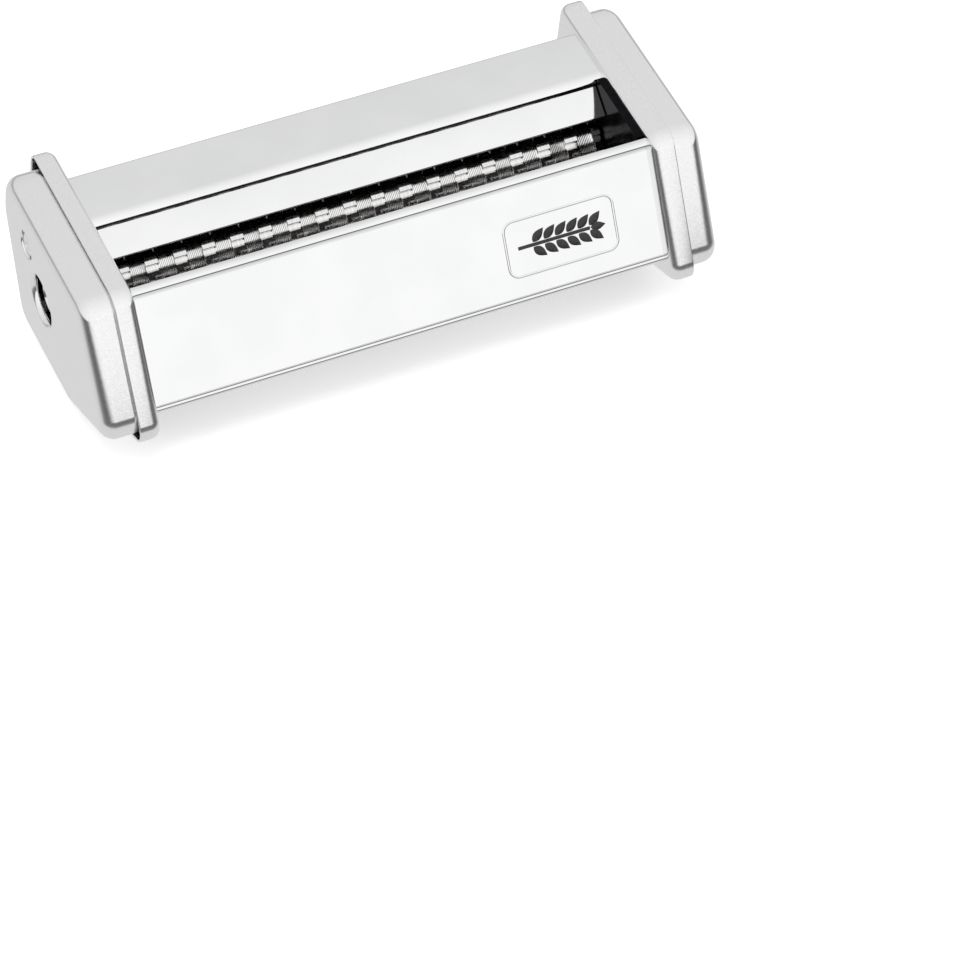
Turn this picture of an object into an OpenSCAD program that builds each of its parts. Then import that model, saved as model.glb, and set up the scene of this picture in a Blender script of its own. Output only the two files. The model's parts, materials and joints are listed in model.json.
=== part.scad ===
// Noodle cutter head for a hand-cranked pasta machine.
// X runs along the rollers with the crank side at -X, Y runs to the back, Z is up.
// The head stands on the flat bottom edges of its two side trays at z = 0.

/* [Body] */
// Distance between the inner faces of the two side trays
tray_gap = 156; // [154:1:158]
// Sheet thickness of trays, panel and cover
sheet = 0.8; // [0.6:0.1:1]
// Width of the tray rim, measured from its inner face to the lip
rim_depth = 6.55; // [5:0.5:7]
// Bend radius where the tray floor turns into the rim
tray_bend = 3; // [2:0.5:3.5]
// Distance from the tray's inner face to the flat face of the end cap
cap_depth = 15.9; // [15.5:0.1:17]
// Gap between the tray rim and the end cap nested in it
cap_gap = 1; // [0.6:0.1:1.4]
// Edge radius of the domed end cap
cap_edge = 4.4; // [3:0.1:4.6]
// Sheet thickness of the end caps
cap_wall = 0.9; // [0.7:0.1:1]

/* [Rollers] */
// Outer radius over the cutting rings
ring_r = 11; // [10.9:0.05:11.05]
// Radius of the groove floor between rings
groove_r = 9.5; // [9.3:0.1:9.6]
// Spacing from one ring to the next
ring_pitch = 8.6; // [8.5:0.1:8.7]
// Width of one cutting ring
ring_w = 4.05; // [3.8:0.05:4.1]
// Number of grip flutes round each ring
flutes = 16; // [12:1:18]
// Depth of a flute
flute_depth = 0.9; // [0.5:0.1:1.2]
// Running clearance between a journal and its bushing
run_gap = 0.04; // [0.02:0.01:0.1]

/* [Crank socket] */
// Radius of the socket bore that takes the crank
socket_r = 4.6; // [4:0.1:4.8]
// Depth of that bore, from the mouth to its step
socket_depth = 5.5; // [4.5:0.5:5.5]
// Radius of the hole in the left end cap
cap_hole_r = 7.5; // [7:0.1:8]

/* [Gears] */
// Teeth on each of the two equal gears
teeth = 13; // [13:1:13]
// Face width of the gears
gear_w = 7; // [5:0.5:7]

/* [Badge] */
// Width of the badge
badge_w = 33.6; // [30:0.2:35]
// Height of the badge, measured down the panel
badge_h = 16.6; // [15:0.2:17]

/* [Hidden] */
$fn = 64;
hull_fn = 32;
// position of the driven axis in the part's frame
axis_y = 9.84;
axis_z = 25.8;
// the front roller lies almost level in front of the driven one
shaft_dist = 20.8;
shaft_tilt = -2;
idler_y = -shaft_dist * cos(shaft_tilt);
idler_z = shaft_dist * sin(shaft_tilt);
half_gap = tray_gap / 2;
tray_out = half_gap + sheet;
lip_x = half_gap + rim_depth;
face_x = half_gap + cap_depth;
// side outline, counter-clockwise in Y and Z about the driven axis
rim = [[30, 28.3], [-33.9, 28.3], [-54.2, -11.8], [-20, -25.8], [21, -25.8], [32.5, 11]];
rim_r = [5, 6, 6, 9, 8, 12];
cap_r = [10, 7, 7, 9, 8, 12];
// bearing plates
plate_t = 2.15;
plate_x = half_gap - plate_t;
plate_top = 25.2;
plate_low_top = 22.2;
plate_guide_top = 16.2;
// rollers
roller_end = plate_x - 0.55;
driven_first = -71.5;
idler_first = driven_first + ring_pitch / 2;
driven_rings = 18;
idler_rings = 17;
flute_turn = 4.5;
// journals
crank_journal_r = 6.5;
shaft_r = 5;
stub_r = 4.5;
socket_mouth = half_gap + 13.4;
cross_pin_r = 1.25;
cross_pin_x = 84;
// bushings
flange_t = 1.5;
flange_w = 1.4;
bush_seat = 0.05;
crank_bush_r = 8.2;
shaft_bush_r = 7;
stub_bush_r = 6.4;
// gears and clips
tooth_module = shaft_dist / teeth;
pressure = 25;
pitch_r = shaft_dist / 2;
base_r = pitch_r * cos(pressure);
tip_r = pitch_r + 1.2;
root_r = pitch_r - 1.7;
tooth_thick = PI * tooth_module / 2 - 0.25;
gear_x = tray_out + flange_t + 0.5;
clip_t = 0.9;
clip_x = gear_x + gear_w + 0.2;
shaft_end = clip_x + clip_t + 1.4;
flat_h = 4;
// front panel, measured down its outer face from the bead
panel_top = [-31.64, 23.28];
panel_lean = 26.92;
panel_run = 31.96;
bead_r = 1.6;
bead_s = -1.3;
bead_n = -1.1;
crease_w = 0.5;
flange_run = 1.8;
return_run = 4;
// rear cover
cover_z = 25.28;
cover_back = 19.4;
nose_y = 1.2;
nose_r = 2.8;
back_bend = 2;
back_wall_low = -17;
guide_end = [-8.6, 17.2];
guide_x = plate_x - 0.35;
guide_left = half_gap - run_gap;
plate_foot = back_wall_low + sheet + 0.25;
// tie rods, at [y, z] about the driven axis
rod_r = 2.2;
front_rod = [-33.2, -11.6];
rear_rod = [12.6, -13.4];
top_rod = [15.3, 18.6];
rods = [front_rod, rear_rod, top_rod];
thread_end = tray_out + 4.6;
nut_t = 3.2;
nut_r = 4.04;
// cap screws and posts
screw_at = [10.7, 12];
post_r = 3.4;
dimple_depth = 2;
dimple_r = 4.2;
screw_head_r = 3.5;
screw_r = 1.6;
post_end = face_x - dimple_depth - cap_wall;
cap_foot = half_gap + tray_bend + run_gap
  - sqrt(pow(tray_bend - sheet, 2) - pow(tray_bend - sheet - cap_gap, 2));
screw_len = 8;
// combs
comb_t = 1.2;
tine_w = 3.4;
comb_drop = groove_r + 0.45;
tine_tip = 3;
tine_root = 6.2;
// mounting hooks on the trays, behind the cover
hook_y = [20, 26];
hook_z = [-4, 9];
hook_depth = 3.6;
hook_slot = 3.2;
hook_roof = 3;

// ---------- helpers ----------

// stand children drawn in Y and Z about the driven axis along X
module along_x(x0, len) {
  translate([x0, axis_y, axis_z])
    rotate([90, 0, 90])
      linear_extrude(len)
        children();
}

// a round bar along X at a point given about the driven axis
module bar_x(at, x0, len, r, fn = 64) {
  translate([x0, axis_y + at[0], axis_z + at[1]])
    rotate([0, 90, 0])
      cylinder(h = len, r = r, $fn = fn);
}

// mirror to the -X side when side is -1
module on_side(side) {
  mirror([side < 0 ? 1 : 0, 0, 0])
    children();
}

function unit(v) = v / norm(v);
function edge(p, i) = unit(p[(i + 1) % len(p)] - p[i % len(p)]);
function crossz(a, b) = a[0] * b[1] - a[1] * b[0];
// corner i of outline p moved inwards by d
function corner(p, i, d) =
  let (a = edge(p, i + len(p) - 1), b = edge(p, i))
  p[i] + (b - a) * d / crossz(a, b);

// one point where the rounded outline leaves corner i, on the edge with direction e
function tangent(i, d, radii, e) = corner(rim, i, d + radii[i]) + radii[i] * [e[1], -e[0]];

// run a section round the side outline: children drawn as [inwards, along X]
module sweep(d, radii) {
  n = len(rim);
  for (i = [0:n - 1]) {
    e_in = edge(rim, i + n - 1);
    e_out = edge(rim, i);
    c = corner(rim, i, d + radii[i]);
    translate([0, axis_y + c[0], axis_z + c[1]])
      rotate([90, 0, 90])
        rotate([0, 0, atan2(-e_in[0], e_in[1])])
          rotate_extrude(angle = acos(e_in * e_out))
            translate([radii[i], 0])
              mirror([1, 0])
                children();
    p = tangent(i, d, radii, e_out);
    q = tangent((i + 1) % n, d, radii, e_out);
    translate([0, axis_y + p[0], axis_z + p[1]])
      rotate([90, 0, 90])
        rotate([90, 0, atan2(e_out[0], -e_out[1])])
          linear_extrude(norm(q - p))
            children();
  }
}

// flat plate with the rounded side outline, moved inwards by cut from the
// outline of inset d so that the corners keep their centres
module plate(x0, t, d, radii, cut) {
  n = len(rim);
  small = [for (r = radii) r - cut];
  along_x(x0, t)
    polygon([
      for (i = [0:n - 1])
        for (e = [edge(rim, i + n - 1), edge(rim, i)])
          tangent(i, d + cut, small, e)
    ]);
  for (i = [0:n - 1]) {
    e_in = edge(rim, i + n - 1);
    c = corner(rim, i, d + radii[i]);
    translate([x0, axis_y + c[0], axis_z + c[1]])
      rotate([90, 0, 90])
        rotate([0, 0, atan2(-e_in[0], e_in[1])])
          rotate_extrude(angle = acos(e_in * edge(rim, i)))
            square([small[i], t]);
  }
}

// quarter of a ring in [inwards, along X], centred at at; s says which way it faces
module bend_section(at, r, t, s) {
  intersection() {
    difference() {
      translate(at)
        circle(r = r);
      translate(at)
        circle(r = r - t);
    }
    translate([at[0] - r, s < 0 ? at[1] - r : at[1]])
      square(r);
  }
}

// ---------- side trays ----------

module tray(side, bores) {
  on_side(side)
    difference() {
      union() {
        sweep(0, rim_r) {
          union() {
            translate([0, half_gap + tray_bend])
              square([sheet, rim_depth - tray_bend]);
            bend_section([tray_bend, half_gap + tray_bend], tray_bend, sheet, -1);
          }
        }
        plate(half_gap, sheet, 0, rim_r, tray_bend);
      }
      for (b = bores)
        bar_x([b[0], b[1]], half_gap - 1, 4, b[2] + bush_seat);
      for (r = rods)
        bar_x(r, half_gap - 1, 4, rod_r + bush_seat);
    }
}

module left_side_tray() {
  color([0.86, 0.87, 0.88])
    tray(-1, [[0, 0, crank_bush_r], [idler_y, idler_z, stub_bush_r]]);
}

module right_side_tray() {
  color([0.86, 0.87, 0.88])
    tray(1, [[0, 0, shaft_bush_r], [idler_y, idler_z, shaft_bush_r]]);
}

// ---------- end caps ----------

// solid dome over the side outline, rounded with radius r where it meets its face
module dome(x0, x1, d, radii, r) {
  hull()
    for (i = [0:len(rim) - 1]) {
      c = corner(rim, i, d + radii[i]);
      translate([x0, axis_y + c[0], axis_z + c[1]])
        rotate([0, 90, 0])
          rotate_extrude($fn = hull_fn)
            polygon(concat(
              [[0, 0], [radii[i], 0]],
              [for (t = [0:15:90]) [radii[i] - r * (1 - cos(t)), x1 - x0 - r * (1 - sin(t))]],
              [[0, x1 - x0]]
            ));
    }
}

module cap(side, crank_hole) {
  inset = sheet + cap_gap;
  on_side(side)
    difference() {
      union() {
        difference() {
          dome(cap_foot, face_x, inset, cap_r, cap_edge);
          dome(cap_foot - 1, face_x - cap_wall, inset + cap_wall,
            [for (r = cap_r) r - cap_wall], cap_edge - cap_wall);
        }
        bar_x(screw_at, post_end, dimple_depth + cap_wall - 0.2, dimple_r + cap_wall);
      }
      bar_x(screw_at, face_x - dimple_depth, dimple_depth + 1, dimple_r);
      bar_x(screw_at, post_end - 1, 4, screw_r + 0.3);
      if (crank_hole)
        bar_x([0, 0], face_x - cap_wall - 1, 3, cap_hole_r);
    }
}

module left_end_cap() {
  color([0.88, 0.89, 0.9])
    cap(-1, true);
}

module right_end_cap() {
  color([0.88, 0.89, 0.9])
    cap(1, false);
}

// ---------- bearing plates and bushings ----------

// the top edge steps to pass the cover's nose and guide, which reach further to the left
module bearing_plate(side, bores, top) {
  on_side(side)
    difference() {
      along_x(plate_x, plate_t)
        polygon(concat(
          [[cover_back - 1, plate_foot], [cover_back - 1, plate_low_top]],
          top,
          [[-42.2, -5], [-38, -15], [-20, -18]],
          [[cover_back - 5.4, -18], [cover_back - 5.4, plate_foot]]
        ));
      for (b = bores)
        bar_x([b[0], b[1]], plate_x - 1, 4, b[2] + bush_seat);
      for (r = rods)
        bar_x(r, plate_x - 1, 4, rod_r + bush_seat);
    }
}

module left_bearing_plate() {
  color([0.03, 0.03, 0.035])
    bearing_plate(
      -1,
      [[0, 0, crank_bush_r], [idler_y, idler_z, stub_bush_r]],
      [[10.5, plate_low_top], [10.5, plate_guide_top], [-31.3, plate_guide_top]]
    );
}

module right_bearing_plate() {
  color([0.03, 0.03, 0.035])
    bearing_plate(
      1,
      [[0, 0, shaft_bush_r], [idler_y, idler_z, shaft_bush_r]],
      [
        [nose_y - nose_r - 0.3, plate_low_top],
        [nose_y - nose_r - 0.3, plate_top],
        [-28.2, plate_top],
        [-28.2, plate_low_top]
      ]
    );
}

module bushing(side, at, r_out, r_in) {
  color([0.9, 0.9, 0.86])
    on_side(side)
      difference() {
        union() {
          bar_x(at, plate_x, tray_out - plate_x + 0.1, r_out);
          bar_x(at, tray_out, flange_t, r_out + flange_w);
        }
        bar_x(at, plate_x - 1, 8, r_in + run_gap);
      }
}

module driven_bushing_left() {
  bushing(-1, [0, 0], crank_bush_r, crank_journal_r);
}

module driven_bushing_right() {
  bushing(1, [0, 0], shaft_bush_r, shaft_r);
}

module idler_bushing_left() {
  bushing(-1, [idler_y, idler_z], stub_bush_r, stub_r);
}

module idler_bushing_right() {
  bushing(1, [idler_y, idler_z], shaft_bush_r, shaft_r);
}

// ---------- rollers ----------

// fluted ring section, drawn about its own centre
module ring_section() {
  step = 360 / flutes;
  land = step * 0.5;
  flank = step * 0.12;
  root = ring_r - flute_depth;
  polygon([
    for (i = [0:flutes - 1])
      for (q = [[0, ring_r], [land, ring_r], [land + flank, root], [step - flank, root]])
        q[1] * [cos(i * step + q[0] + flute_turn), sin(i * step + q[0] + flute_turn)]
  ]);
}

// barrel with its row of cutting rings
module barrel(at, first, count) {
  bar_x(at, -roller_end, 2 * roller_end, groove_r);
  for (i = [0:count - 1]) {
    x0 = max(first + i * ring_pitch - ring_w / 2, -roller_end);
    x1 = min(first + i * ring_pitch + ring_w / 2, roller_end);
    translate([x0, axis_y + at[0], axis_z + at[1]])
      rotate([90, 0, 90])
        linear_extrude(x1 - x0)
          ring_section();
  }
}

// geared end of a roller: journal, drive flat and clip groove
module geared_end(at) {
  difference() {
    bar_x(at, roller_end - 1, shaft_end - roller_end + 1, shaft_r);
    translate([gear_x, axis_y + at[0] - shaft_r, axis_z + at[1] + flat_h])
      cube([shaft_end - gear_x + 1, 2 * shaft_r, shaft_r]);
    difference() {
      bar_x(at, clip_x - 0.05, clip_t + 0.1, shaft_r + 1);
      bar_x(at, clip_x - 1, clip_t + 2, shaft_r - 0.7);
    }
  }
}

module driven_roller() {
  color([0.8, 0.8, 0.81])
    difference() {
      union() {
        barrel([0, 0], driven_first, driven_rings);
        geared_end([0, 0]);
        bar_x([0, 0], -socket_mouth, socket_mouth - roller_end + 1, crank_journal_r);
      }
      bar_x([0, 0], -socket_mouth - 1, socket_depth + 1, socket_r);
      bar_x([0, 0], -cross_pin_x - 2, 8, socket_r - 1);
      translate([-cross_pin_x, axis_y, axis_z - 10])
        cylinder(h = 20, r = cross_pin_r);
    }
}

module idler_roller() {
  at = [idler_y, idler_z];
  stub_clip_x = tray_out + flange_t + 0.3;
  stub_end = stub_clip_x + clip_t + 1.2;
  color([0.8, 0.8, 0.81])
    union() {
      barrel(at, idler_first, idler_rings);
      geared_end(at);
      difference() {
        bar_x(at, -stub_end, stub_end - roller_end + 1, stub_r);
        difference() {
          bar_x(at, -stub_clip_x - clip_t - 0.05, clip_t + 0.1, stub_r + 1);
          bar_x(at, -stub_clip_x - clip_t - 1, clip_t + 2, stub_r - 0.7);
        }
      }
    }
}

module crank_cross_pin() {
  color([0.6, 0.6, 0.62])
    translate([-cross_pin_x, axis_y, axis_z - crank_journal_r + 0.1])
      cylinder(h = 2 * crank_journal_r - 0.2, r = cross_pin_r);
}

// ---------- gears and clips ----------

function involute(a) = tan(a) * 180 / PI - a;
// half width of a tooth, in degrees, at radius r
function half_angle(r) =
  tooth_thick / 2 / pitch_r * 180 / PI + involute(pressure) - involute(acos(min(1, base_r / r)));

// gear outline with one tooth pointing along angle phase
module gear_section(phase) {
  rs = [for (k = [0:5]) base_r + (tip_r - base_r) * k / 5];
  flank = concat([[root_r, half_angle(base_r)]], [for (r = rs) [r, half_angle(r)]]);
  n = len(flank);
  polygon([
    for (i = [0:teeth - 1])
      for (k = [0:2 * n - 1])
        let (
          f = k < n ? flank[k] : flank[2 * n - 1 - k],
          s = k < n ? -1 : 1,
          a = phase + i * 360 / teeth + s * f[1]
        )
        f[0] * [cos(a), sin(a)]
  ]);
}

module gear(at, phase) {
  color([0.78, 0.7, 0.45])
    difference() {
      translate([gear_x, axis_y + at[0], axis_z + at[1]])
        rotate([90, 0, 90])
          linear_extrude(gear_w)
            gear_section(phase);
      difference() {
        bar_x(at, gear_x - 1, gear_w + 2, shaft_r + 0.02);
        translate([gear_x - 2, axis_y + at[0] - shaft_r - 1, axis_z + at[1] + flat_h + 0.03])
          cube([gear_w + 4, 2 * shaft_r + 2, shaft_r]);
      }
    }
}

module driven_gear() {
  gear([0, 0], 180 - shaft_tilt);
}

module idler_gear() {
  gear([idler_y, idler_z], -shaft_tilt + 180 / teeth);
}

// open retaining clip round a groove
module clip(at, x0, shaft) {
  opening = 0.8 * shaft;
  color([0.35, 0.35, 0.37])
    difference() {
      bar_x(at, x0, clip_t, shaft + 1.9);
      bar_x(at, x0 - 1, clip_t + 2, shaft - 0.65);
      translate([x0 - 1, axis_y + at[0] - opening, axis_z + at[1] - shaft - 3])
        cube([clip_t + 2, 2 * opening, shaft + 3]);
    }
}

module driven_gear_clip() {
  clip([0, 0], clip_x, shaft_r);
}

module idler_gear_clip() {
  clip([idler_y, idler_z], clip_x, shaft_r);
}

module idler_stub_clip() {
  clip([idler_y, idler_z], -(tray_out + flange_t + 0.3 + clip_t), stub_r);
}

// ---------- front panel and badge ----------

// children drawn in [s, n]: s down the panel, n out of its face
module panel_frame() {
  translate([0, axis_y + panel_top[0], axis_z + panel_top[1]])
    rotate([-panel_lean, 0, 0])
      rotate([0, 90, 0])
        children();
}

module front_panel() {
  face_low = panel_run + crease_w;
  color([0.88, 0.89, 0.9])
    panel_frame() {
      translate([0, 0, -half_gap])
        linear_extrude(tray_gap)
          polygon([
            [bead_s, 0 + sheet],
            [bead_s, 0],
            [panel_run, 0],
            [panel_run, 0.4],
            [face_low, 0.4],
            [face_low, 0],
            [face_low + flange_run, 0],
            [face_low + flange_run, return_run],
            [face_low + flange_run - sheet, return_run],
            [face_low + flange_run - sheet, sheet + 0.4],
            [panel_run - sheet, sheet + 0.4],
            [panel_run - sheet, sheet]
          ]);
      translate([bead_s, -bead_n, -half_gap])
        cylinder(h = tray_gap, r = bead_r);
    }
}

module maker_badge() {
  badge_mid_x = 47.8;
  badge_mid_s = 17.9;
  corner_r = 3;
  frame_w = 0.7;
  raise = 0.25;
  color([0.12, 0.12, 0.13])
    panel_frame()
      translate([badge_mid_s, 0, badge_mid_x])
        rotate([90, 0, 0]) {
          difference() {
            badge_blank(badge_h, badge_w, corner_r, raise);
            translate([0, 0, raise / 2])
              badge_blank(badge_h - 2 * frame_w, badge_w - 2 * frame_w, corner_r - frame_w, raise);
          }
          // ear of wheat: a stem with slanting grains
          translate([-0.3, -12, 0])
            cube([0.6, 22, raise]);
          for (i = [0:5])
            for (s = [-1, 1])
              translate([s * 2.1, -8 + i * 3.4, 0])
                rotate([0, 0, -s * 35])
                  linear_extrude(raise)
                    polygon([[-1.1, 0], [0, -2.1], [1.1, 0], [0, 2.1]]);
        }
}

// rounded plate lying in its own X and Y
module badge_blank(h, w, r, t) {
  translate([-h / 2 + r, -w / 2, 0])
    cube([h - 2 * r, w, t]);
  translate([-h / 2, -w / 2 + r, 0])
    cube([h, w - 2 * r, t]);
  for (i = [-1, 1])
    for (j = [-1, 1])
      translate([i * (h / 2 - r), j * (w / 2 - r), 0])
        cylinder(h = t, r = r);
}

// ---------- rear cover ----------

// quarter of a bent sheet: outer radius r, kept where sy and sz point
module bend(at, x0, len, r, sy, sz) {
  intersection() {
    difference() {
      bar_x(at, x0, len, r);
      bar_x(at, x0 - 1, len + 2, r - sheet);
    }
    translate([x0, axis_y + at[0] + (sy < 0 ? -r : 0), axis_z + at[1] + (sz < 0 ? -r : 0)])
      cube([len, r, r]);
  }
}

module rear_cover() {
  nose_at = [nose_y, cover_z - nose_r];
  back_at = [cover_back - back_bend, cover_z - back_bend];
  dir = unit(guide_end - [nose_y - nose_r, cover_z - nose_r]);
  down = [-dir[1], dir[0]] * -sheet;
  color([0.88, 0.89, 0.9])
    union() {
      translate([-half_gap, axis_y + nose_y, axis_z + cover_z - sheet])
        cube([tray_gap, cover_back - back_bend - nose_y, sheet]);
      bend(nose_at, -half_gap, tray_gap, nose_r, -1, 1);
      bend(back_at, -half_gap, tray_gap, back_bend, 1, 1);
      translate([-half_gap, axis_y + cover_back - sheet, axis_z + back_wall_low])
        cube([tray_gap, sheet, cover_z - back_bend - back_wall_low]);
      translate([-half_gap, axis_y + cover_back - 5, axis_z + back_wall_low])
        cube([tray_gap, 5, sheet]);
      along_x(-guide_left, guide_left + guide_x)
        polygon([
          [nose_y - nose_r, cover_z - nose_r],
          guide_end,
          guide_end - down,
          [nose_y - nose_r + sheet, cover_z - nose_r - 0.55],
          [nose_y - nose_r + sheet, cover_z - nose_r]
        ]);
    }
}

// ---------- tie rods ----------

module tie_rod(at) {
  color([0.7, 0.7, 0.72])
    bar_x(at, -thread_end, 2 * thread_end, rod_r);
}

module front_tie_rod() {
  tie_rod(front_rod);
}

module rear_tie_rod() {
  tie_rod(rear_rod);
}

module top_tie_rod() {
  tie_rod(top_rod);
}

module tie_rod_nuts() {
  color([0.62, 0.62, 0.64])
    for (r = rods)
      for (s = [-1, 1])
        on_side(s)
          difference() {
            bar_x(r, tray_out, nut_t, nut_r, 6);
            bar_x(r, tray_out - 1, nut_t + 2, rod_r + bush_seat);
          }
}

// ---------- combs ----------

// comb hung on a tie rod: tube, blade and one tine per groove.
// top is the height of the tines, tip and root their two ends in Y
module comb(rod, top, tip, root, first, count) {
  tube_r = rod_r + 1.1;
  low = min(root, rod[0]);
  color([0.82, 0.82, 0.83])
    difference() {
      union() {
        bar_x(rod, -plate_x + 0.3, 2 * plate_x - 0.6, tube_r);
        translate([-plate_x + 0.3, axis_y + low, axis_z + top - comb_t])
          cube([2 * plate_x - 0.6, abs(root - rod[0]), comb_t]);
        for (i = [0:count - 1])
          translate([
            first + (i + 0.5) * ring_pitch - tine_w / 2,
            axis_y + min(root, tip),
            axis_z + top - comb_t
          ])
            cube([tine_w, abs(root - tip), comb_t]);
      }
      bar_x(rod, -plate_x - 1, 2 * plate_x + 2, rod_r + bush_seat);
    }
}

module front_comb() {
  comb(front_rod, idler_z - comb_drop, idler_y + tine_tip, idler_y - tine_root,
    idler_first, idler_rings - 1);
}

module rear_comb() {
  comb(rear_rod, -comb_drop, -tine_tip, tine_root, driven_first, driven_rings - 1);
}

// ---------- cap fixings ----------

module cap_post(side) {
  color([0.7, 0.7, 0.72])
    on_side(side)
      difference() {
        bar_x(screw_at, tray_out, post_end - tray_out, post_r, 6);
        bar_x(screw_at, post_end - screw_len - 1, screw_len + 2, screw_r + 0.05);
      }
}

module left_cap_post() {
  cap_post(-1);
}

module right_cap_post() {
  cap_post(1);
}

module cap_screw(side) {
  seat = face_x - dimple_depth;
  head_h = 1.9;
  slot_w = 0.8;
  color([0.75, 0.75, 0.77])
    on_side(side)
      difference() {
        union() {
          bar_x(screw_at, seat, head_h, screw_head_r);
          bar_x(screw_at, seat - screw_len, screw_len + 0.5, screw_r);
        }
        translate([seat + 0.7, axis_y + screw_at[0], axis_z + screw_at[1]])
          for (a = [0, 90])
            rotate([a + 20, 0, 0])
              translate([0, -screw_head_r * 0.6, -slot_w / 2])
                cube([3, screw_head_r * 1.2, slot_w]);
      }
}

module left_cap_screw() {
  cap_screw(-1);
}

module right_cap_screw() {
  cap_screw(1);
}

// ---------- mounting hooks ----------

// block with a slot open downwards and inwards, that drops over a peg
module mount_hook(side) {
  w = hook_y[1] - hook_y[0];
  h = hook_z[1] - hook_z[0];
  color([0.7, 0.7, 0.72])
    on_side(side)
      difference() {
        translate([half_gap - hook_depth, axis_y + hook_y[0], axis_z + hook_z[0]])
          cube([hook_depth, w, h]);
        translate([
          half_gap - hook_depth - 1,
          axis_y + hook_y[0] + (w - hook_slot) / 2,
          axis_z + hook_z[0] - 1
        ])
          cube([hook_depth + 0.2, hook_slot, h + 1 - hook_roof]);
      }
}

module left_mount_hook() {
  mount_hook(-1);
}

module right_mount_hook() {
  mount_hook(1);
}

left_side_tray();
right_side_tray();
left_end_cap();
right_end_cap();
left_bearing_plate();
right_bearing_plate();
driven_bushing_left();
driven_bushing_right();
idler_bushing_left();
idler_bushing_right();
driven_roller();
idler_roller();
crank_cross_pin();
driven_gear();
idler_gear();
driven_gear_clip();
idler_gear_clip();
idler_stub_clip();
front_panel();
maker_badge();
rear_cover();
front_tie_rod();
rear_tie_rod();
top_tie_rod();
tie_rod_nuts();
front_comb();
rear_comb();
left_cap_post();
right_cap_post();
left_cap_screw();
right_cap_screw();
left_mount_hook();
right_mount_hook();
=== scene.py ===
# %% [markdown]
# # A noodle cutter head in polished steel
# This head clips onto a hand-cranked pasta machine. Two ringed rollers, geared together, slice a
# sheet of dough into noodles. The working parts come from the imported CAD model, which stays as
# the fixed frame. This lesson gives each visible part its real bends, edges and finish.

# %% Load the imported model
import json
import math

import bmesh
import bpy
from mathutils import Matrix, Vector


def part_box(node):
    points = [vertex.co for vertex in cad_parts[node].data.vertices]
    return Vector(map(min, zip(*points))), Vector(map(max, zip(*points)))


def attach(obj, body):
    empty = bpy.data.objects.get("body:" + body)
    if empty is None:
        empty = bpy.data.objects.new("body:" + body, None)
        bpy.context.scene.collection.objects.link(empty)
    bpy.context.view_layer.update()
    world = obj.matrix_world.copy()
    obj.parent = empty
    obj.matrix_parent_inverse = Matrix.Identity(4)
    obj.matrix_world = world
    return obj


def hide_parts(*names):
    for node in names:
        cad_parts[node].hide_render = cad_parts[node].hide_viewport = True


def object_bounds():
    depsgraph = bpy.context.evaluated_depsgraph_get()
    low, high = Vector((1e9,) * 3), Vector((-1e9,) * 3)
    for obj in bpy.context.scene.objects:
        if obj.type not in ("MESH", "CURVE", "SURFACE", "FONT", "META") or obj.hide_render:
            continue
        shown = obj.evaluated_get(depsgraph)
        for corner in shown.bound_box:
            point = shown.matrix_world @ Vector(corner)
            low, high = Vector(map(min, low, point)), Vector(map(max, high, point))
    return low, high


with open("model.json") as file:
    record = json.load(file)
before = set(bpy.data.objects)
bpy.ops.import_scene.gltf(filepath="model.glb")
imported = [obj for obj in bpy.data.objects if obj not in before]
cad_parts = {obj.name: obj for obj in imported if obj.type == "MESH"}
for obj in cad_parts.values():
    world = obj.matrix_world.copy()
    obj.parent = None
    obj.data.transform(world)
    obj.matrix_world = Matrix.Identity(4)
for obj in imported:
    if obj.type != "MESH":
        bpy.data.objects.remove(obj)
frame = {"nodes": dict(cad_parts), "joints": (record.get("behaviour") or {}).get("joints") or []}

MM = 0.001
cad_low, cad_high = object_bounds()
joint_at = {j["name"]: Vector(j["pos_m"]) for j in frame["joints"]}
driven_axis, idler_axis = joint_at["driven_spin"], joint_at["idler_spin"]
size_mm = [round((hi - lo) / MM, 1) for lo, hi in zip(cad_low, cad_high)]
print("CAD box in mm:", size_mm, "with", len(frame["nodes"]), "nodes")

# %% [markdown]
# ## The camera
# A catalogue picture of a small shiny thing is taken from far off with a long lens, so that
# parallel edges stay nearly parallel. We place the camera by what a person would say: how far
# round to the left, how high, how far away. One small roll levels nothing but copies the hand
# that held the camera.

# %% Place the camera
CAMERA_TURN = 25.05      # degrees round to the crank side
CAMERA_RISE = 46.88      # degrees above the table
CAMERA_AWAY = 1.4472     # metres from the aim point
CAMERA_ROLL = 1.57       # degrees
CAMERA_LENS = 196.6      # millimetres, on a sensor 36 wide
CAMERA_AIM = Vector((-0.00949, -0.10417, 0.026))
turn, rise = math.radians(CAMERA_TURN), math.radians(CAMERA_RISE)
looking = Vector((math.sin(turn) * math.cos(rise), math.cos(turn) * math.cos(rise), -math.sin(rise)))
camera = bpy.data.objects.new("camera", bpy.data.cameras.new("camera"))
bpy.context.scene.collection.objects.link(camera)
camera.data.sensor_width = 36
camera.data.lens = CAMERA_LENS
camera.data.clip_start, camera.data.clip_end = 0.05, 20
level = looking.to_track_quat("-Z", "Y").to_matrix()
camera.matrix_world = Matrix.Translation(CAMERA_AIM - looking * CAMERA_AWAY) @ (
    level @ Matrix.Rotation(math.radians(CAMERA_ROLL), 3, "Z")
).to_4x4()
bpy.context.scene.camera = camera
print("camera at", [round(v, 3) for v in camera.location])

# %% [markdown]
# ## Light for chrome
# Polished metal has no colour of its own: it shows the room. A product photographer builds a
# white tent over a table and leaves the space in front of the table dark, and that darkness
# draws the lines along every bend. Here the sky is the tent. Below the horizon it is the table:
# light under and behind the machine, dim towards the front edge, with a darker seam where tent
# and table meet. Steel is shown this sky on all sides, so the real floor is hidden from its
# reflections.

# %% The white tent
world = bpy.data.worlds.new("white_tent")
bpy.context.scene.world = world
world.use_nodes = True
sky = world.node_tree
sky.nodes.clear()


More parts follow.
